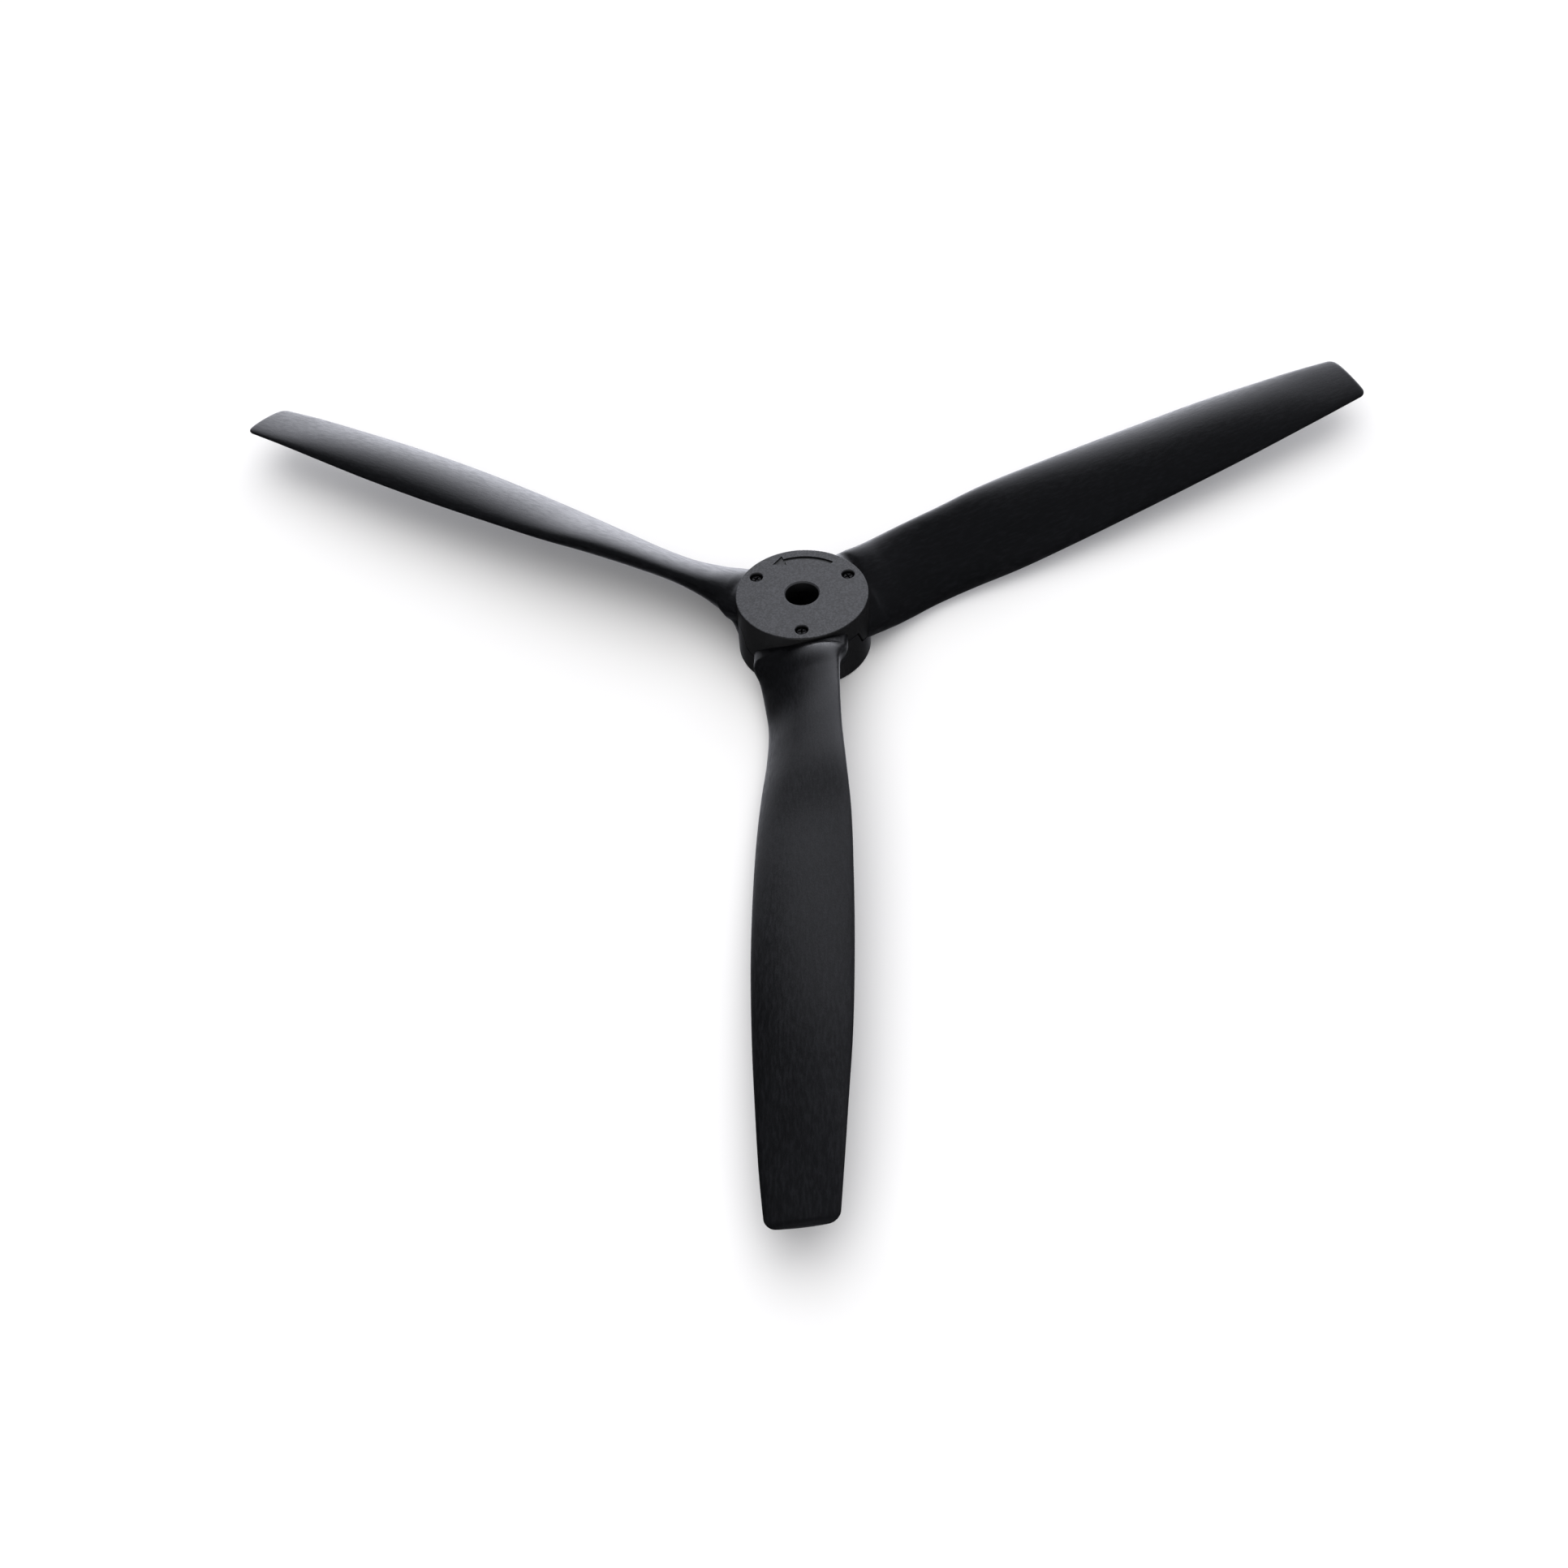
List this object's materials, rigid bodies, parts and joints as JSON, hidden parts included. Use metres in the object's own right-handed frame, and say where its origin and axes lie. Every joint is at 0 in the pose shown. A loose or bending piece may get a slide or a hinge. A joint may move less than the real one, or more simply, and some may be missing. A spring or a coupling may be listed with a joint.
{
  "type": "model aircraft propeller",
  "caption": "Fixed-pitch propeller for a model aircraft: twisted blades clamped by screws between the two halves of a short round hub with a shaft bore.",
  "frame": {"origin": "centre of the shaft bore on the rear face of the hub", "axes": "+Z along the shaft, from the rear face to the front face; the first blade lies along -Y, the others at 120 degree steps"},
  "size_m": [0.2241, 0.1953, 0.0129],
  "materials": {
    "hub_nylon": "black glass-filled nylon, fine even moulded grain, matte",
    "blade_nylon": "black glass-filled nylon, satin, with a faint speckle drawn along the blade",
    "screw_steel": "blackened steel"
  },
  "bodies": {
    "root": {"front_hub_half": "hub_nylon", "rear_hub_half": "hub_nylon", "blade_1": "blade_nylon", "blade_2": "blade_nylon", "blade_3": "blade_nylon", "clamp_screw_1": "screw_steel", "clamp_screw_2": "screw_steel", "clamp_screw_3": "screw_steel"}
  },
  "joints": []
}
